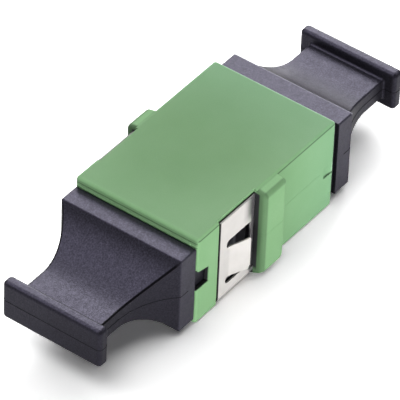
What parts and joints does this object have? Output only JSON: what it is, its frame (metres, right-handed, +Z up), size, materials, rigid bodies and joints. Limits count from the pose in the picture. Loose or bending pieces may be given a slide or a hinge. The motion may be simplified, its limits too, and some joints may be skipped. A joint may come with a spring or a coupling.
{
  "type": "mpo fibre coupler",
  "caption": "Green rectangular fibre coupler for multi-fibre push-on plugs, with panel flange tabs, a lanced spring clip, inner latch inserts and black pull-off dust caps.",
  "frame": {"origin": "on the plane of the housing's underside, under the middle rib between the two ports", "axes": "+X along the coupler towards the rear port, +Y across the flange tabs, +Z up"},
  "size_m": [0.0432, 0.0148, 0.0094],
  "materials": {
    "green_plastic": "satin moulded",
    "clip_steel": "polished stainless sheet",
    "insert_plastic": "matte moulded",
    "cap_plastic": "fine-textured matte"
  },
  "bodies": {
    "coupler": {"housing": "green_plastic", "spring_clip": "clip_steel", "front_latch_insert": "insert_plastic", "rear_latch_insert": "insert_plastic"},
    "front_cap": {"front_dust_cap": "cap_plastic"},
    "rear_cap": {"rear_dust_cap": "cap_plastic"}
  },
  "joints": [
    {"name": "front_cap_slide", "type": "slide", "parent": "coupler", "child": "front_cap", "axis": [-1, 0, 0], "range_m": [0, 0.012]},
    {"name": "rear_cap_slide", "type": "slide", "parent": "coupler", "child": "rear_cap", "axis": [1, 0, 0], "range_m": [0, 0.012]}
  ]
}
